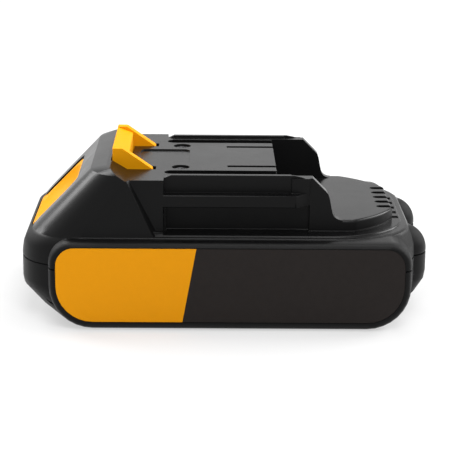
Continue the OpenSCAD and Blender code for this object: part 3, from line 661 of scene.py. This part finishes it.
def misfilled(mesh):
    """Planes of the faces whose triangles don't cover just the face."""
    mesh.calc_loop_triangles()
    covered = [0.0] * len(mesh.polygons)
    for triangle in mesh.loop_triangles:
        covered[triangle.polygon_index] += triangle.area
    planes = []
    for face in mesh.polygons:
        missed = abs(covered[face.index] - face.area)
        if len(face.vertices) > MOST_SURE_CORNERS and missed > MISFILL:
            planes.append((face.normal.copy(), face.normal.dot(face.center)))
    return planes


def on_plane(plane, point):
    """Whether a point lies in a plane."""
    normal, height = plane
    return abs(normal.dot(point) - height) < THINNEST


def eased(room, ends, planes):
    """Half the rounding for an edge that lies in one of the planes."""
    if any(all(on_plane(plane, end) for end in ends) for plane in planes):
        return room / 2 if room > 2 * LEAST_ROOM else 0.0
    return room


def dropped(room, ends, planes):
    """No rounding for an edge that touches one of the planes."""
    return 0.0 if any(on_plane(plane, end) for plane in planes for end in ends) else room


def nowhere(point):
    """A test that no point passes."""
    return False


def bevelled(piece, square, width, segments, rooms):
    """Give a piece a copy of its square mesh with each edge rounded as far as its room."""
    piece.data = square.copy()
    weights = piece.data.attributes.new("bevel_weight_edge", "FLOAT", "EDGE")
    weights.data.foreach_set("value", rooms)
    bevel = piece.modifiers.new("edges", "BEVEL")
    bevel.width = width
    bevel.segments = segments
    bevel.limit_method = "WEIGHT"
    bevel.use_clamp_overlap = False
    bpy.ops.object.modifier_apply(modifier=bevel.name)


def soften(piece, width, segments, fold, crease=nowhere, spare=nowhere, tree=None):
    """Round the sharp edges, less where a face then fills wrongly, and shade round faces smooth."""
    hold(piece)
    square = piece.data
    rooms = edge_rooms(square, width, fold, crease, spare, tree)
    for attempt in range(ROUNDING_TRIES):
        bevelled(piece, square, width, segments, rooms)
        planes = misfilled(piece.data)
        if not planes or attempt == ROUNDING_TRIES - 1:
            break
        relief = eased if attempt < ROUNDING_TRIES / 2 else dropped
        rooms = [relief(room, edge_ends(square, edge), planes)
                 for edge, room in zip(square.edges, rooms)]
        trial = piece.data
        piece.data = square
        bpy.data.meshes.remove(trial)
    bpy.data.meshes.remove(square)
    piece.data.name = piece.name
    bpy.ops.object.shade_smooth_by_angle(angle=MOULDED_TURN)
    weighted = piece.modifiers.new("flats", "WEIGHTED_NORMAL")
    weighted.keep_sharp = True
    weighted.weight = FLAT_WEIGHT
    bpy.ops.object.modifier_apply(modifier=weighted.name)


# Screw shaping and fitting

def edit_level(piece, height, kind):
    """Go into edit mode with just the points, edges and faces at one height selected."""
    hold(piece)
    mesh = piece.data
    for point in mesh.vertices:
        point.select = abs(point.co.z - height) < THINNEST
    for group in (mesh.edges, mesh.polygons):
        for part in group:
            part.select = all(mesh.vertices[v].select for v in part.vertices)
    bpy.ops.object.mode_set(mode="EDIT")
    bpy.ops.mesh.select_mode(type=kind)


def narrow_end(piece, share, extra=0.0):
    """Draw the lowest face of a piece down by extra and in to a share of its width."""
    edit_level(piece, min(point.co.z for point in piece.data.vertices), "FACE")
    if extra:
        bpy.ops.mesh.extrude_region_move(TRANSFORM_OT_translate={"value": (0, 0, -extra)})
    bpy.ops.transform.resize(value=(share, share, 1), center_override=(0, 0, 0))
    bpy.ops.object.mode_set(mode="OBJECT")


def settle(piece, body, slot, *nodes):
    """Say which body carries a piece and what it stands for; the slot is not used."""
    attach(piece, body)
    if nodes:
        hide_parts(*nodes)


def settings(context):
    """The sizes and the colours of the scene."""
    return context.scene.pack_sizes, context.scene.pack_colours


# Operators

class BATTERY_OT_shells(bpy.types.Operator):
    """Round the edges of the two case halves and give them their plastic"""

    bl_idname = "battery_pack.shells"
    bl_label = "Case shells"

    def execute(self, context):
        sizes, colours = settings(context)
        finish = case_plastic(colours.case_black)
        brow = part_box("upper_case")[1].z - BROW_DROP
        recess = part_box("label_main_field")[1].y + RECESS_SLACK

        def on_brow(point):
            return abs(point.z - brow) < BROW_BAND

        def in_recess(point):
            return point.y < recess

        tree = outlook("upper_case", "lower_case")
        for node, name in (("upper_case", "upper_shell"), ("lower_case", "lower_shell")):
            shell = solid_copy(node, name)
            soften(shell, sizes.shell_edge, ROUND_SEGMENTS, SHELL_FOLD, on_brow, in_recess, tree)
            finish.put_on(shell)
            settle(shell, "pack", "case_black", node)
        return {"FINISHED"}


class BATTERY_OT_latch(bpy.types.Operator):
    """Round the edges of the release latch and give it its plastic"""

    bl_idname = "battery_pack.latch"
    bl_label = "Release latch"

    def execute(self, context):
        sizes, colours = settings(context)
        latch = solid_copy("release_latch", "latch_slider")
        soften(latch, sizes.latch_edge, ROUND_SEGMENTS, TRIM_FOLD)
        latch_plastic(colours.latch_orange).put_on(latch)
        settle(latch, "latch", "latch_orange", "release_latch")
        return {"FINISHED"}


class BATTERY_OT_label(bpy.types.Operator):
    """Print the two plain fields of the label film"""

    bl_idname = "battery_pack.label"
    bl_label = "Label film"

    def execute(self, context):
        sizes, colours = settings(context)
        for field, slot, depth in LABEL_FIELDS:
            node = f"label_{field}_field"
            film = solid_copy(node, f"label_{field}_film")
            soften(film, sizes.film_edge, FILM_SEGMENTS, TRIM_FOLD)
            label_film(f"label_{field}_print", getattr(colours, slot), depth).put_on(film)
            settle(film, "pack", slot, node)
        return {"FINISHED"}


class BATTERY_OT_screws(bpy.types.Operator):
    """Model a cross-head screw of each length and copy it to its places"""

    bl_idname = "battery_pack.screws"
    bl_label = "Deck and case screws"

    def execute(self, context):
        sizes, colours = settings(context)
        finish = plated_metal("screw_plate", colours.screw_steel, rough=0.3, scratch=EVEN)
        self.deck(sizes, finish)
        self.case(sizes, finish)
        return {"FINISHED"}

    def deck(self, sizes, finish):
        """The two screws that go down into the deck."""
        low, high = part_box("deck_screws")
        seat = high.z - SCREW_HEAD_H
        x = (low.x + high.x) / 2
        y = high.y - SCREW_HEAD_R
        pattern = self.model(sizes, seat - low.z)
        turn = Matrix.Rotation(DECK_SCREW_ANGLE, 4, "Z")
        for name, side in (("near", -1), ("far", 1)):
            at = Matrix.Translation((x, side * y, seat)) @ turn
            self.place(pattern, finish, f"deck_screw_{name}", at, "deck_screws")
        bpy.data.objects.remove(pattern)

    def case(self, sizes, finish):
        """The four screws that come up through the bottom of the case."""
        low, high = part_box("case_screws")
        seat = low.z + SCREW_HEAD_H
        pattern = self.model(sizes, high.z - low.z - SCREW_HEAD_H)
        upside = Matrix.Rotation(math.pi, 4, "X")
        places = {"latch": (low.x + SCREW_HEAD_R, high.y - SCREW_HEAD_R),
                  "nose": (high.x - SCREW_HEAD_R, NOSE_SCREW_Y)}
        for end, (x, y) in places.items():
            for name, side in (("near", -1), ("far", 1)):
                at = Matrix.Translation((x, side * y, seat)) @ upside
                self.place(pattern, finish, f"case_screw_{end}_{name}", at, "case_screws")
        bpy.data.objects.remove(pattern)

    def model(self, sizes, length):
        """A crowned head with a cross recess over a threaded shank, seat at zero."""
        head = self.rod(HEAD_SIDES, SCREW_HEAD_R, 0, SCREW_HEAD_H)
        edit_level(head, SCREW_HEAD_H, "EDGE")
        bpy.ops.mesh.bevel(offset=sizes.screw_crown, segments=CROWN_SEGMENTS, affect="EDGES")
        bpy.ops.object.mode_set(mode="OBJECT")
        for turn in (0, math.pi / 2):
            self.cut_slot(head, turn)
        shank = self.shank(sizes, length)
        hold(head)
        shank.select_set(True)
        bpy.ops.object.join()
        bpy.ops.object.mode_set(mode="EDIT")
        bpy.ops.mesh.select_all(action="SELECT")
        bpy.ops.mesh.normals_make_consistent(inside=False)
        bpy.ops.object.mode_set(mode="OBJECT")
        bpy.ops.object.shade_smooth_by_angle(angle=SCREW_TURN)
        return head

    def rod(self, sides, radius, low, high):
        """An upright cylinder between two heights."""
        deselect()
        bpy.ops.mesh.primitive_cylinder_add(
            vertices=sides, radius=radius, depth=high - low, location=(0, 0, (low + high) / 2))
        bpy.ops.object.transform_apply(location=True, rotation=True, scale=True)
        return bpy.context.object

    def cut_slot(self, head, turn):
        """One tapered arm pair of the cross recess."""
        deselect()
        bpy.ops.mesh.primitive_cube_add(
            size=1.0, location=(0, 0, SLOT_FLOOR + SLOT_SIZE[2] / 2), scale=SLOT_SIZE,
            rotation=(0, 0, turn))
        cutter = bpy.context.object
        bpy.ops.object.transform_apply(location=True, rotation=True, scale=True)
        narrow_end(cutter, SLOT_TAPER)
        hold(head)
        cut = head.modifiers.new("slot", "BOOLEAN")
        cut.operation = "DIFFERENCE"
        cut.object = cutter
        bpy.ops.object.modifier_apply(modifier=cut.name)
        bpy.data.objects.remove(cutter)

    def shank(self, sizes, length):
        """A core drawn to a point with one ridge wound round it."""
        straight = length - SCREW_POINT
        core = self.rod(CORE_SIDES, SCREW_CORE_R, -straight, 0)
        narrow_end(core, POINT_SHARE, SCREW_POINT)
        deselect()
        bpy.ops.mesh.primitive_circle_add(
            vertices=RIDGE_SIDES, radius=SCREW_RIDGE, location=(SCREW_CORE_R, 0, -straight),
            rotation=(math.pi / 2, 0, 0))
        ridge = bpy.context.object
        bpy.ops.object.transform_apply(location=True, rotation=True, scale=True)
        wind = ridge.modifiers.new("wind", "SCREW")
        wind.axis = "Z"
        wind.screw_offset = sizes.thread_pitch
        wind.iterations = int((straight - SCREW_POINT) / sizes.thread_pitch)
        wind.steps = THREAD_STEPS
        wind.render_steps = THREAD_STEPS
        bpy.ops.object.modifier_apply(modifier=wind.name)
        bpy.ops.object.mode_set(mode="EDIT")
        bpy.ops.mesh.select_all(action="SELECT")
        bpy.ops.mesh.fill_holes(sides=RIDGE_SIDES)
        bpy.ops.object.mode_set(mode="OBJECT")
        core.select_set(True)
        bpy.context.view_layer.objects.active = core
        bpy.ops.object.join()
        return core

    def place(self, pattern, finish, name, matrix, node):
        """One copy of the pattern at its place."""
        piece = bpy.data.objects.new(name, pattern.data.copy())
        piece.data.name = name
        bpy.context.scene.collection.objects.link(piece)
        piece.data.transform(matrix)
        finish.put_on(piece)
        settle(piece, "pack", "screw_steel", node)


class BATTERY_OT_springs(bpy.types.Operator):
    """Smooth the latch springs and give them their steel"""

    bl_idname = "battery_pack.springs"
    bl_label = "Latch springs"

    def execute(self, context):
        finish = plated_metal("spring_wire", SPRING_STEEL, rough=0.28, scratch=EVEN)
        travel = next(j for j in frame["joints"] if j["name"] == "latch_slide")["range_m"][1]
        for side in ("near", "far"):
            node = f"latch_spring_{side}"
            low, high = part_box(node)
            spring = solid_copy(node, f"coil_spring_{side}")
            bpy.ops.object.shade_smooth_by_angle(angle=WIRE_TURN)
            finish.put_on(spring)
            settle(spring, "pack", "spring_steel", node)
            keep = 1 - travel / (high.z - low.z)
            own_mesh(spring)
        return {"FINISHED"}


class BATTERY_OT_inside(bpy.types.Operator):
    """Give the cells, strips and board their finishes"""

    bl_idname = "battery_pack.inside"
    bl_label = "Cells and board"

    def execute(self, context):
        _, colours = settings(context)
        self.dress(plated_metal("cell_steel", CELL_STEEL, rough=0.3, scratch=ALONG_Y),
                   "cell_1", "cell_2", "cell_3", "cell_4", "cell_5")
        self.dress(shrink_sleeve(colours.sleeve_blue), "cell_sleeves")
        self.dress(fibre_card("washer_fibre", WASHER_FIBRE), "cell_washers")
        self.dress(plated_metal("nickel_strip", NICKEL, rough=0.34, scratch=ALONG_X),
                   "strip_pack_negative", "strip_cells_1_2", "strip_cells_2_3", "strip_cells_3_4",
                   "strip_cells_4_5", "strip_pack_positive")
        self.dress(fibre_card("insulator_fibre", INSULATOR_FIBRE),
                   "end_insulator_near", "end_insulator_far")
        self.dress(moulded("holder_plastic", HOLDER_BLACK, rough=0.45),
                   "cell_holder_near", "cell_holder_far")
        self.dress(board_laminate(colours.board_green), "circuit_board")
        self.dress(moulded("carrier_nylon", CARRIER_BLACK, rough=0.4), "terminal_carrier")
        self.dress(plated_metal("contact_tin", TIN, rough=0.26, scratch=ALONG_Z),
                   "terminal_positive", "terminal_negative", "terminal_signal")
        self.dress(moulded("chip_epoxy", CHIP_BLACK, rough=0.5),
                   "power_transistors", "controller_chip")
        self.dress(plated_metal("shunt_alloy", SHUNT_ALLOY, rough=0.4, scratch=ALONG_X), "current_shunt")
        self.dress(moulded("bead_epoxy", BEAD_BROWN, rough=0.25), "thermistor")
        return {"FINISHED"}

    def dress(self, finish, *names):
        """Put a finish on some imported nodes."""
        finish.put_on(*(frame["nodes"][name] for name in names))


def looking(location, target, roll=0.0):
    """Place and turn that look at a target, with the right side raised by roll."""
    back = (Vector(location) - Vector(target)).normalized()
    right = Vector((0, 0, 1)).cross(back).normalized()
    up = back.cross(right)
    side = math.cos(roll) * right + math.sin(roll) * up
    top = back.cross(side)
    return Matrix.Translation(location) @ Matrix((side, top, back)).transposed().to_4x4()


class BATTERY_OT_stage(bpy.types.Operator):
    """Set the floor, the surroundings, the lamps and the camera"""

    bl_idname = "battery_pack.stage"
    bl_label = "Stage"

    def execute(self, context):
        sizes, colours = settings(context)
        self.floor(sizes, colours)
        self.surroundings(context.scene)
        for name, location, width, power in LAMPS:
            self.lamp(name, location, width, power)
        self.camera(context.scene, sizes)
        context.scene.view_settings.view_transform = "Standard"
        return {"FINISHED"}

    def floor(self, sizes, colours):
        """A white floor that glows a little where it is seen."""
        deselect()
        bpy.ops.mesh.primitive_plane_add(size=sizes.floor_width, location=(0, 0, -FLOOR_DROP))
        plane = bpy.context.object
        plane.name = "studio_floor"
        f = Finish("floor_white")
        paint = f.node("ShaderNodeBsdfDiffuse", None, {"Color": colours.floor_white})
        glow = f.node("ShaderNodeEmission", None, {"Color": WHITE, "Strength": 1.0})
        mix = f.node("ShaderNodeMixShader", None,
                     {0: FLOOR_GLOW * f.seen(), 1: paint.outputs[0], 2: glow.outputs[0]})
        f.node("ShaderNodeOutputMaterial", None, {"Surface": mix.outputs[0]})
        f.put_on(plane)

    def surroundings(self, scene):
        """A white world that gives less light than it shows."""
        world = bpy.data.worlds.new("white_studio")
        scene.world = world
        f = Finish("white_studio", world)
        back = f.node("ShaderNodeBackground", None,
                      {"Color": WHITE, "Strength": WORLD_LIGHT + (1 - WORLD_LIGHT) * f.seen()})
        f.node("ShaderNodeOutputWorld", None, {"Surface": back.outputs[0]})

    def lamp(self, name, location, width, power):
        """A round soft lamp that points at the pack."""
        deselect()
        bpy.ops.object.light_add(type="AREA", location=location)
        lamp = bpy.context.object
        lamp.name = name
        lamp.data.shape = "DISK"
        lamp.data.size = width
        lamp.data.energy = power
        lamp.matrix_world = looking(location, LAMP_TARGET)

    def camera(self, scene, sizes):
        """A long lens in front of the pack, a little above it."""
        target = Vector((0, 0, sizes.view_height))
        level = math.cos(VIEW_LIFT)
        back = Vector((math.sin(VIEW_TURN) * level, -math.cos(VIEW_TURN) * level, math.sin(VIEW_LIFT)))
        place = target + sizes.view_distance * back
        deselect()
        bpy.ops.object.camera_add(location=place)
        camera = bpy.context.object
        camera.name = "photo_camera"
        camera.data.sensor_width = SENSOR_WIDTH
        camera.data.lens = sizes.view_lens
        camera.data.clip_start = NEAREST_SEEN
        camera.matrix_world = looking(place, target, VIEW_ROLL)
        scene.camera = camera


# Panel and registration

class VIEW3D_PT_battery_pack(bpy.types.Panel):
    """Sizes, colours and steps of the battery pack"""

    bl_label = "Battery pack"
    bl_idname = "VIEW3D_PT_battery_pack"
    bl_space_type = "VIEW_3D"
    bl_region_type = "UI"
    bl_category = "Battery pack"

    def draw(self, context):
        column = self.layout.column(align=True)
        for step in STEPS:
            column.operator(step.bl_idname)
        for group in settings(context):
            column.separator()
            for name in group.bl_rna.properties.keys():
                if name not in ("rna_type", "name"):
                    column.prop(group, name)


STEPS = (BATTERY_OT_shells, BATTERY_OT_latch, BATTERY_OT_label, BATTERY_OT_screws, BATTERY_OT_springs,
         BATTERY_OT_inside, BATTERY_OT_stage)
CLASSES = (PackSizes, PackColours, *STEPS, VIEW3D_PT_battery_pack)


def register():
    """Add the classes and give the scene its sizes and colours."""
    for cls in CLASSES:
        bpy.utils.register_class(cls)
    bpy.types.Scene.pack_sizes = bpy.props.PointerProperty(type=PackSizes)
    bpy.types.Scene.pack_colours = bpy.props.PointerProperty(type=PackColours)


def unregister():
    """Take away all that register adds."""
    del bpy.types.Scene.pack_colours
    del bpy.types.Scene.pack_sizes
    for cls in reversed(CLASSES):
        bpy.utils.unregister_class(cls)


def main():
    """Build every group of pieces and the stage."""
    register()
    bpy.ops.battery_pack.shells()
    bpy.ops.battery_pack.latch()
    bpy.ops.battery_pack.label()
    bpy.ops.battery_pack.screws()
    bpy.ops.battery_pack.springs()
    bpy.ops.battery_pack.inside()
    bpy.ops.battery_pack.stage()
    deselect()


if __name__ == "__main__":
    main()
